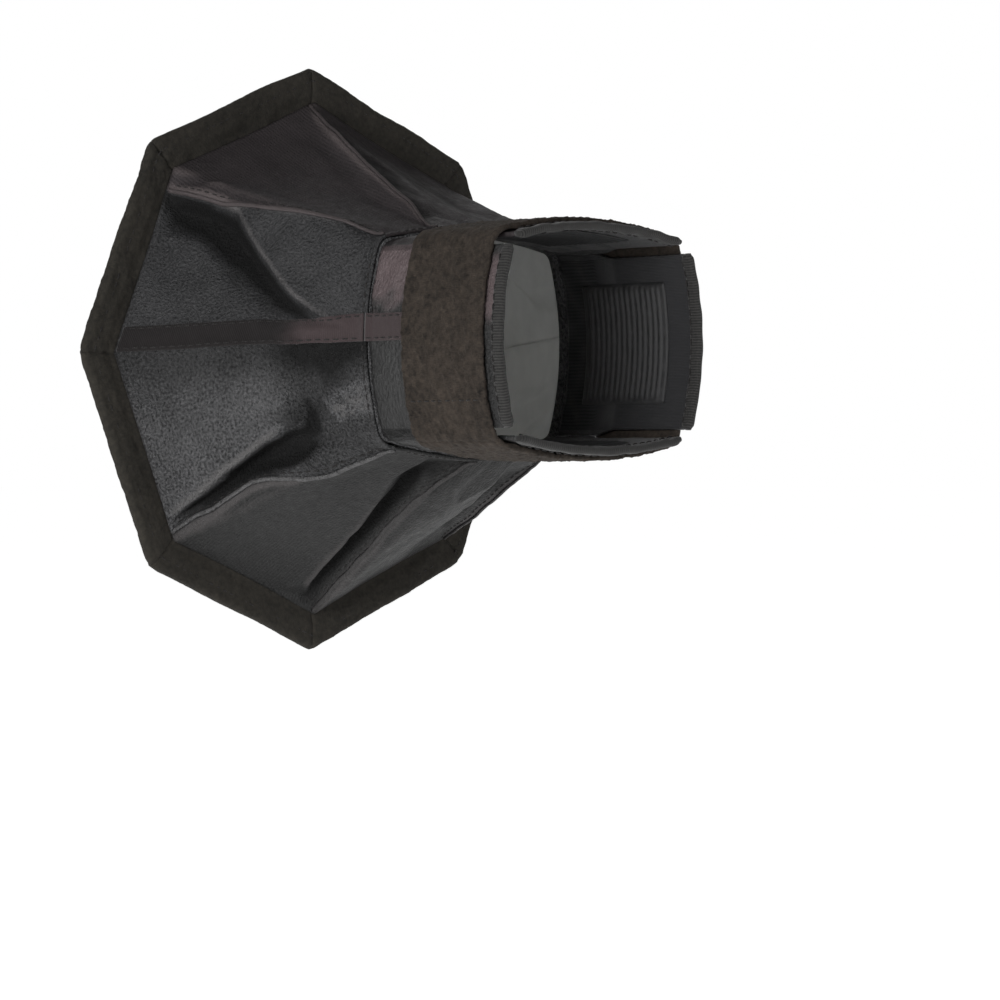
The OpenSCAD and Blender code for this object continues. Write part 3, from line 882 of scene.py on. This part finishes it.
def rim_r(turn):
    """Distance from the axis to the rim's edge in the direction turn, its corners rounded."""
    k = np.round(turn / EIGHTH)
    from_corner = abs(turn - k * EIGHTH)
    fillet = np.where(np.isin(np.mod(k, 8), SHARP_CORNERS), SHARP_R, SOFT_R)
    half = EIGHTH / 2
    flat = RIM_R * math.cos(half)
    centre = (flat - fillet) / math.cos(half)
    tangent = np.arctan2(fillet * math.sin(half), centre + fillet * math.cos(half))
    under = np.maximum(fillet ** 2 - (centre * np.sin(from_corner)) ** 2, 0)
    arc = centre * np.cos(from_corner) + np.sqrt(under)
    return np.where(from_corner < tangent, arc, flat / np.cos(half - from_corner))


def hem_section(step):
    """(share of the hem's width from its outer edge, share of its half thickness) round it."""
    turn = np.linspace(math.pi / 2, 3 * math.pi / 2, 9)
    tip = 0.13
    outer = [(tip + tip * math.cos(a), math.sin(a)) for a in turn]
    span = np.arange(tip + step, 1 - 0.05, step)
    front = [(w, -1 + 0.30 * step_up(w, 0.48, 0.72)) for w in span]
    inner = [(0.95 + 0.05 * math.cos(a), 0.70 * math.sin(a)) for a in turn - math.pi]
    back = [(w, -z) for w, z in front[::-1]]
    return np.array(outer + front + inner[1:-1] + back)


FERRULE_MIDDLE = np.array((low("hoop_ferrule") + high("hoop_ferrule")) / 2)
FERRULE_LEN = math.hypot(high("hoop_ferrule").x - low("hoop_ferrule").x,
                         high("hoop_ferrule").z - low("hoop_ferrule").z)
HEM_MIDDLE_Y, HEM_HALF_T = (HEM_BACK_Y + RIM_FRONT_Y) / 2, (HEM_BACK_Y - RIM_FRONT_Y) / 2
# Halfway across the hem, to lay its felt's fibres out flat
HEM_MIDDLE_R_MM = 92


def hem_piece(k):
    """One mitred side of the hem, pinched at its ends and full where it holds the ferrule."""
    share, face = hem_section(0.055).T[:, None]
    turn = np.linspace(k, k + 1, 61)[:, None] * EIGHTH
    fray = waves(places(np.cos(turn), np.sin(turn), 0), 0.35, seed=20)
    outside = rim_r(turn) + (0.25 * fray - 0.2) * MM
    r = outside + (octagon_r(turn, HEM_INNER_R) - outside) * share
    y = HEM_MIDDLE_Y + HEM_HALF_T * 0.97 * face
    rings = places(r * np.cos(turn), y, r * np.sin(turn) + RIM_Z)
    end = np.minimum(turn - k * EIGHTH, (k + 1) * EIGHTH - turn) * RIM_R
    pinch = 0.55 * MM * np.exp(-(end / (0.9 * MM)) ** 2) * (1 - 0.6 * step_up(share, 0.6, 0.9))
    fuzz = 0.10 * MM * waves(rings, 1.6 * MM, 40, seed=21) + 0.12 * MM * waves(rings, 7 * MM, seed=22)
    from_ferrule = np.linalg.norm((rings - FERRULE_MIDDLE) * [1, 0, 1], axis=-1)
    bulge = 0.55 * MM * fade(from_ferrule, 0.4 * FERRULE_LEN, 0.9 * FERRULE_LEN)
    rings[..., 1] += (fuzz + bulge - pinch) * np.sign(face)
    cloth = places(turn * HEM_MIDDLE_R_MM, r / MM, y / MM)
    ride(tube(f"felt_hem_{k + 1}", rings, cloth), "rim", "hem_felt", [f"hem_{k + 1}"], hem_felt)


for k in range(8):
    hem_piece(k)


def rim_line(share, y, facing):
    """A closed line of points round the hem at a share of its width, and its normals."""
    turn = np.linspace(0, TAU, 721)
    r = rim_r(turn) + (octagon_r(turn, HEM_INNER_R) - rim_r(turn)) * share
    line = places(r * np.cos(turn), y, r * np.sin(turn) + RIM_Z)
    return line, np.broadcast_to([0, facing, 0], line.shape)


# How far the stitches lie from the hem's middle, in front by its inner edge and behind by its outer
HEM_FACE, HEM_EDGE_FACE = 1.33 * MM, 1.68 * MM
stitches("hem_stitches", [rim_line(0.86, HEM_MIDDLE_Y - HEM_FACE, -1),
                          rim_line(0.30, HEM_MIDDLE_Y + HEM_EDGE_FACE, 1)], "rim")


# ---------------------------------------------------------------- the diffuser

def diffuser():
    """The front cloth, drawn into the middle of the hem round its edge."""
    rings, spokes = 44, 8 * 30
    share = np.linspace(0.02, 1, rings)[:, None]
    turn = np.arange(spokes) * TAU / spokes
    corner_r = HEM_INNER_R + 3 * MM
    r = octagon_r(turn, corner_r) * share
    middle_y = (low("front_diffuser").y + high("front_diffuser").y) / 2
    pull = np.cos(turn * 8) * 0.5 + 0.5
    ripple = 0.22 * MM * pull * np.sin(turn * 48 + 3 * share) * bump(share, 0.82, 0.3)
    sag = -0.5 * MM * (1 - share ** 2)
    tuck = (HEM_MIDDLE_Y - middle_y) * step_up(share, 0.93, 0.975)
    front = places(r * np.cos(turn), middle_y + ripple + sag + tuck, r * np.sin(turn) + RIM_Z)
    back = front + [0, 0.35 * MM, 0]
    points = np.concatenate([front.reshape(-1, 3), back.reshape(-1, 3)])
    size = rings * spokes
    faces = quads(rings, spokes, wrap_columns=True)
    faces += [f[::-1] for f in quads(rings, spokes, wrap_columns=True, first=size)]
    faces += [list(range(spokes))[::-1], [size + j for j in range(spokes)]]
    for j in range(spokes):
        a, b = size - spokes + j, size - spokes + (j + 1) % spokes
        faces.append((b, a, size + a, size + b))
    sheet = ride(mesh_piece("diffuser_sheet", points, faces, points[:, [0, 2, 1]] / MM), "rim",
                 "diffuser_cloth", ["front_diffuser"], white_nylon)


diffuser()


# ---------------------------------------------------------------- the waist and the sleeve

def round_sleeve(a0, a1, section, step):
    """Rings along the sleeve's outline, whose section is a list of (y, lift)."""
    turn = sleeve_walk(a0, a1, step)
    y, lift = section.T
    x, z = sleeve_at(turn[:, None], lift)
    way = distance_along(np.stack(sleeve_at(turn), -1))
    return places(x, y, z), places(way[:, None], y, lift) / MM, turn


def waist():
    """The band that joins panels and flaps, under the panels' lap."""
    section = np.array([(0, -1.55), (0, 0.0), (0.05, 0.35), (0.5, 0.38), (0.9, 0.36), (1, 0.2),
                        (1, -1.55)]) * [FLAP_Y - WAIST_Y, MM] + [WAIST_Y, 0]
    rings, cloth, turn = round_sleeve(0, TAU, section, 0.9 * MM)
    out = outward(turn)
    ripple = 0.12 * MM * waves(rings, 5 * MM, seed=30) * (section[:, 1] > 0)
    rings = rings + out[:, None] * ripple[..., None]
    ride(tube("waist_welt", rings[:-1], cloth[:-1], loop=True), "neck", "panel_leather",
         ["waist_band"], lit_near_leather)
    x, z = sleeve_at(turn, WAIST_LIFT + 0.02 * MM)
    stitches("waist_stitches", [(places(x, SEWN_Y, z), out)], "neck")


waist()

FLAP_T = 1.6 * MM
SIDES = ["near", "top", "far", "bottom"]
SIDE_BODY = {"near": "neck", "top": "neck", "far": "flap_far", "bottom": "flap_bottom"}
# For each side: half of the angle of its flat, the angle to its corner's middle, its radius
HALF_TURN = [SIDE_A, TOP_A] * 2
CORNER_TURN = [CORNER_A, math.pi / 2 - CORNER_A] * 2
BULGE_R = [SIDE_R, TOP_R] * 2


def flap(i, side):
    """A sleeve flap that closes to its neighbours at the waist and tapers to the rear."""
    sewn = SIDE_BODY[side] == "neck"
    columns, rows = 73, 56
    reach = CORNER_TURN[i] - math.radians(0.5 if sewn else 5)
    y = np.linspace(low(f"flap_{side}").y + 0.1 * MM, BINDING_Y + 0.5 * MM, rows)
    closed_y = STRAP_Y0 + (6 if sewn else -1) * MM
    width = HALF_TURN[i] + (reach - HALF_TURN[i]) * fade(y, closed_y, closed_y + 10 * MM)
    share = np.linspace(-1, 1, columns)[:, None]
    turn = i * math.pi / 2 + share * width
    x, z = sleeve_at(turn, 0)
    outer, out = places(x, y, z), outward(turn)
    calm = 1 - 0.8 * step_up(y, STRAP_Y0 - 3 * MM, STRAP_Y0 + 2 * MM)
    lift = -0.12 * MM + (0.22 * MM * waves(outer, 9 * MM, seed=31) - 0.12 * MM) * calm
    if side == "near":
        glinting_crinkles = bump(share, -0.85, 0.5) * bump(y, FLAP_Y + 7 * MM, 12 * MM)
        lift = lift + 0.35 * MM * glinting_crinkles * waves(outer, 3.6 * MM, seed=32)
    outer = outer + out * lift[..., None]
    inner = outer - out * (FLAP_T - 0.15 * MM)
    half_width_mm = 34 if i % 2 == 0 else 38
    cloth = places(share * half_width_mm + 400, y / MM, 0)
    # Paler across the middle of the near flap
    paler = 0 * x
    if side == "near":
        ragged = share + 0.02 * waves(outer, 7 * MM, seed=33)
        paler = 0.9 * step_up(ragged, 0.06, 0.26) * fade(ragged, 0.75, 1.0)
    piece = shell(f"sleeve_flap_{side}", outer, inner, cloth, paler)
    dress(piece, [f"flap_{side}"], shaded_top_leather if side == "top" else sleeve_leather)
    piece.data.materials.append(nylon)
    count = len(quads(columns, rows))
    lining_faces = [0] * len(piece.data.polygons)
    lining_faces[count:2 * count] = [1] * count
    piece.data.polygons.foreach_set("material_index", lining_faces)
    if sewn:
        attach(piece, "neck")
    else:
        x, z = {"far": (-NECK_X, 0), "bottom": (0, -NECK_Z)}[side]
        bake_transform(piece)


def binding(i, side):
    """Grosgrain rolled round a flap's rear edge."""
    node = f"binding_{side}"
    section = rounded(high(node).y - low(node).y, 2.7 * MM, 1.3 * MM, 0.6 * MM, 7)
    section = section + [(low(node).y + high(node).y) / 2, -FLAP_T / 2]
    a = i * math.pi / 2
    rings, cloth, turn = round_sleeve(a - HALF_TURN[i], a + HALF_TURN[i], section, 0.7 * MM)
    out = outward(turn)
    n = np.linspace(0, 1, len(turn))
    close = 1 - 0.35 * (bump(n, 0, 0.03) + bump(n, 1, 0.03))[:, None, None]
    centre = rings.mean(1, keepdims=True)
    rings = centre + (rings - centre) * close
    rings = rings + out[:, None] * (0.13 * MM * waves(rings, 8 * MM, seed=40 + i))[..., None]
    ride(tube(f"rolled_binding_{side}", rings, cloth), SIDE_BODY[side], "binding_tape", [node],
         binding_cloth)
    lines = []
    for lift, sign in ((0.62 * MM, 1), (-FLAP_T - 0.62 * MM, -1)):
        x, z = sleeve_at(turn, lift)
        lines.append((places(x, low(node).y + 1.1 * MM, z)[2:-2], sign * out[2:-2]))
    stitches(f"binding_stitches_{side}", lines, SIDE_BODY[side])


def grip_pad(i, side):
    """A rubber pad with moulded ribs inside a flap."""
    node = f"grip_pad_{side}"
    half = 0.7 * HALF_TURN[i]
    y = np.linspace(low(node).y, high(node).y, 115)
    turn = i * math.pi / 2 + np.linspace(-half, half, 41)[:, None]
    edge_y = np.minimum(y - y[0], y[-1] - y) / MM
    edge_a = np.minimum(turn - turn[0], turn[-1] - turn) * BULGE_R[i] / MM
    from_edge = np.minimum(edge_y, edge_a)
    rise = 0.7 * np.sqrt(np.clip(from_edge / 0.8, 0, 1))
    rib = 0.5 + 0.5 * np.cos(y / (2.4 * MM) * TAU)
    glue = 1.75 * MM
    depth = glue + (rise + 0.55 * rib * np.clip(from_edge - 1.5, 0, 1)) * MM
    faces = []
    for lift in (-glue + 0 * depth, -depth):
        x, z = sleeve_at(turn, lift)
        faces.append(places(x, y, z))
    ride(shell(f"ribbed_grip_pad_{side}", *faces), SIDE_BODY[side], "grip_rubber", [node], grip_rubber)


for i, side in enumerate(SIDES):
    flap(i, side)
    binding(i, side)
    grip_pad(i, side)


def tape_end():
    """The near seam's tape where it runs on over the near flap to the strap."""
    across, up = rounded(TAPE_W, 0.6 * MM, 0.28 * MM, 0.7 * MM, 3).T
    y = np.linspace(FLAP_Y - 0.4 * MM, STRAP_Y0 + 2.5 * MM, 30)[:, None]
    middle = math.asin(float(sleeve_at(sleeve_turn(0.12))[1]) / SIDE_R)
    drop = np.interp(y, [FLAP_Y, FLAP_Y + 2 * MM], [1.1 * MM, 0.1 * MM])
    x, z = sleeve_at(middle + across / SIDE_R + 0 * drop, drop + up + 0.3 * MM)
    rings = places(x, y, z)
    cloth = places(across / MM, y / MM, 0 * x)
    wear_and_painted_light = np.broadcast_to(up > 0, x.shape) * 0.55
    piece = tube("seam_tape_tail", rings, cloth, wear_and_painted_light=wear_and_painted_light)
    ride(piece, "neck", "seam_webbing", material=tape_cloth)
    lines = []
    for off in (-TAPE_STITCH_X, TAPE_STITCH_X):
        x, z = sleeve_at(middle + off / SIDE_R + 0 * drop, drop + 0.6 * MM)
        line = places(x, y, z)[:, 0]
        lines.append((line, np.broadcast_to([1.0, 0, 0], line.shape)))
    stitches("seam_tape_tail_stitches", lines, "neck")


tape_end()


# ---------------------------------------------------------------- the strap

STRAP_T = high("strap_band").x - high("flap_near").x - 0.4 * MM
STRAP_W = STRAP_Y1 - STRAP_Y0
STRAP_GAP = 0.4 * MM
NEAR_BOTTOM, FAR_BOTTOM, TOP_FAR = -CORNER_A, CORNER_A - math.pi, math.pi - CORNER_A
LANDING_END = math.radians(181)
LAP_START = LANDING_END - TAU
TAIL_END = LAP_START - math.radians(15)
LAP_LIFT = 3.45 * MM
TAIL_CORNER_R = 7 * MM


def even(turn):
    return STRAP_GAP + 0 * turn


def tail_lift(turn):
    """The free end rises over the landing that it is pressed on."""
    ramp = [LAP_START + math.radians(a) for a in (8, 2)]
    return STRAP_GAP + (LAP_LIFT - STRAP_GAP) * step_up(turn, *ramp)


def uncut(turn):
    return 1 + 0 * turn


def tail_cut(turn):
    """The free end's corners are cut round."""
    x, z = sleeve_at(turn)
    ex, ez = sleeve_at(TAIL_END)
    left = np.hypot(x - ex, z - ez) / TAIL_CORNER_R
    half = STRAP_W / 2 / TAIL_CORNER_R
    cornered = half - 1 + np.sqrt(np.clip(1 - (1 - np.clip(left, 0, 1)) ** 2, 0, 1))
    return np.where((left < 1) & (turn < LAP_START), cornered / half, 1.0)


def strap(part, a0, a1, lift_of=even, cut=uncut):
    """A length of brushed strap round the sleeve, its face matted and its edges soft."""
    step = 0.8 * MM
    across, up = rounded(STRAP_W, STRAP_T, 0.85 * MM, 0.72 * MM, 5).T
    turn = sleeve_walk(a0, a1, step)[:, None]
    x, z = sleeve_at(turn, lift_of(turn) + STRAP_T / 2 + up)
    rings = places(x, (STRAP_Y0 + STRAP_Y1) / 2 + across * cut(turn), z)
    nap = 0.13 * MM * waves(rings, 1.9 * MM, 50, seed=50) + 0.10 * MM * waves(rings, 5 * MM, seed=51)
    rings = rings + outward(turn) * (nap * np.sign(up))[..., None]
    by_edge = abs(across) > STRAP_W / 2 - 1.2 * MM
    rings[..., 1] += 0.16 * MM * waves(rings, 2.6 * MM, 40, seed=52) * by_edge
    way = np.arange(len(turn))[:, None] * step / MM + 60 * (a0 + 4)
    piece = tube(f"felt_strap_{part}", rings, places(way, rings[..., 1] / MM, up / MM))
    return dress(piece, [f"strap_{part}"], strap_felt)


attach(strap("band", NEAR_BOTTOM, TOP_FAR), "neck")
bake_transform(strap("landing", TOP_FAR, LANDING_END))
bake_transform(strap("bottom", FAR_BOTTOM, NEAR_BOTTOM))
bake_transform(strap("tail", TAIL_END, FAR_BOTTOM, tail_lift, tail_cut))


def hook_patch():
    """Hook tape on the strap's loose end: a thin base with rows of little hooks."""
    node, pitch, wire_r = "hook_patch", 1.5 * MM, 0.08 * MM
    base_lift = LAP_LIFT - 0.15 * MM
    margin = 3 * MM / SIDE_R
    a0, a1 = TAIL_END + margin, LAP_START - margin
    y = np.linspace(low(node).y, high(node).y, 30)
    turn = np.linspace(a0, a1, 24)[:, None]
    faces = []
    for lift in (base_lift, base_lift - 0.3 * MM):
        x, z = sleeve_at(turn, lift + 0 * y)
        faces.append(places(x, y, z))
    ride(shell("hook_tape_base", *faces), "strap_tail", "hook_tape", [node], hooks_material)
    verts, faces = [], []
    arc = [(0, 0), (0.05, 0.28), (0.16, 0.46), (0.34, 0.5), (0.46, 0.36)]
    for a in np.arange(a0 + 0.01, a1 - 0.01, pitch / SIDE_R):
        for row, yy in enumerate(np.arange(y[0] + MM, y[-1] - MM, pitch)):
            first = len(verts)
            for ahead, drop in arc:
                hx, hz = [float(v) for v in sleeve_at(a, base_lift - 0.28 * MM - drop * MM)]
                shift = (ahead if row % 2 else -ahead) * MM
                for b in np.arange(4) * TAU / 4:
                    verts.append((hx, yy + shift + wire_r * math.cos(b), hz + wire_r * math.sin(b)))
            faces += [[first + v for v in f] for f in quads(len(arc), 4, wrap_columns=True)]
            faces.append([first + v for v in (3, 2, 1, 0)])
            faces.append([first + 4 * (len(arc) - 1) + v for v in (0, 1, 2, 3)])
    ride(mesh_piece("hook_tape_hooks", verts, faces), "strap_tail", "hook_tape",
         material=hooks_material)


hook_patch()


def strap_stitching():
    """The rows that sew the strap down to the near and top flaps."""
    lines = []
    for a in (NEAR_BOTTOM + 0.62, TOP_FAR - 0.68):
        y = np.linspace(STRAP_Y0 + 2 * MM, STRAP_Y1 - 2 * MM, 40)
        x, z = sleeve_at(a + 0 * y, STRAP_GAP + STRAP_T - 0.05 * MM)
        lines.append((places(x, y, z), outward(a + 0 * y)))
    stitches("strap_stitches", lines, "neck")


strap_stitching()

# ---------------------------------------------------------------- the hoop and its ferrule

METALS = {"spring_hoop": metal("blued_spring_steel", (96, 98, 102), (140, 142, 146), 0.28),
          "hoop_ferrule": metal("brass_ferrule", (150, 122, 66), (190, 160, 96), 0.3)}
for node, material in METALS.items():
    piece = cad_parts[node]
    piece.data.materials.clear()
    piece.data.materials.append(material)


# ---------------------------------------------------------------- floor, light and camera

FLOOR_HALF = 60.0
# Low enough for the opened strap to hang clear of it
FLOOR_DROP = 80 * MM
floor = mesh_piece("floor", [(x * FLOOR_HALF, y * FLOOR_HALF, 0)
                             for x, y in ((-1, -1), (1, -1), (1, 1), (-1, 1))], [(0, 1, 2, 3)])
floor.location.z = cad_box[0].z - FLOOR_DROP
floor.data.materials.append(studio_floor())

world = bpy.data.worlds.new("studio")
bpy.context.scene.world = world
world.use_nodes = True
sky = world.node_tree
rays = sky.nodes.new("ShaderNodeLightPath")
pick = sky.nodes.new("ShaderNodeMixShader")
sky.links.new(rays.outputs["Is Camera Ray"], pick.inputs[0])
# A little light from all sides, and plain white where the camera looks past the floor
for slot, strength in ((1, 0.15), (2, 1.0)):
    glow = sky.nodes.new("ShaderNodeBackground")
    glow.inputs["Color"].default_value = (1, 1, 1, 1)
    glow.inputs["Strength"].default_value = strength
    sky.links.new(glow.outputs[0], pick.inputs[slot])
sky.links.new(pick.outputs[0], sky.nodes["World Output"].inputs["Surface"])


def around(azimuth, elevation, distance, target):
    """A point at that distance from target. Azimuth 0 is in front, at -Y, and 90 at +X."""
    a, e = math.radians(azimuth), math.radians(elevation)
    way = Vector((math.sin(a) * math.cos(e), -math.cos(a) * math.cos(e), math.sin(e)))
    return target + way * distance


LIGHT_DISTANCE = 1.6


def soft_light(name, azimuth, elevation, size, power):
    """A square lamp that faces the softbox; its size is in metres and its power in watts."""
    lamp = bpy.data.lights.new(name, "AREA")
    lamp.size, lamp.energy = size, power
    obj = bpy.data.objects.new(name, lamp)
    bpy.context.scene.collection.objects.link(obj)
    middle = Vector((0, (cad_box[0].y + cad_box[1].y) / 2, 0))
    obj.location = around(azimuth, elevation, LIGHT_DISTANCE, middle)
    obj.rotation_mode = "QUATERNION"
    obj.rotation_quaternion = (obj.location - middle).to_track_quat("Z", "Y")


soft_light("key", 112, 6, 0.7, 26)
soft_light("fill", 190, 30, 0.9, 4)
soft_light("front", -30, 35, 1.0, 6)

# Fitted to the rim in the photograph, in degrees: (azimuth, elevation) of the camera as seen from
# the rim's centre, and of the direction that its back faces
CAMERA_FROM, CAMERA_BACK = (138.804, -1.747), (136.089, 0.241)
CAMERA_DISTANCE, LENS_MM, SENSOR_MM = 1.400, 146.68, 36
rim_centre = Vector((0, RIM_FRONT_Y + 0.5 * MM, RIM_Z))
camera_data = bpy.data.cameras.new("camera")
camera_data.lens = LENS_MM
camera_data.sensor_width = SENSOR_MM
camera = bpy.data.objects.new("camera", camera_data)
bpy.context.scene.collection.objects.link(camera)
camera.location = around(*CAMERA_FROM, CAMERA_DISTANCE, rim_centre)
camera.rotation_mode = "QUATERNION"
look = around(*CAMERA_BACK, 1.0, Vector((0, 0, 0)))
camera.rotation_quaternion = look.to_track_quat("Z", "Y")
camera_data.clip_start = 0.05
bpy.context.scene.camera = camera
bpy.context.scene.view_settings.view_transform = "Standard"
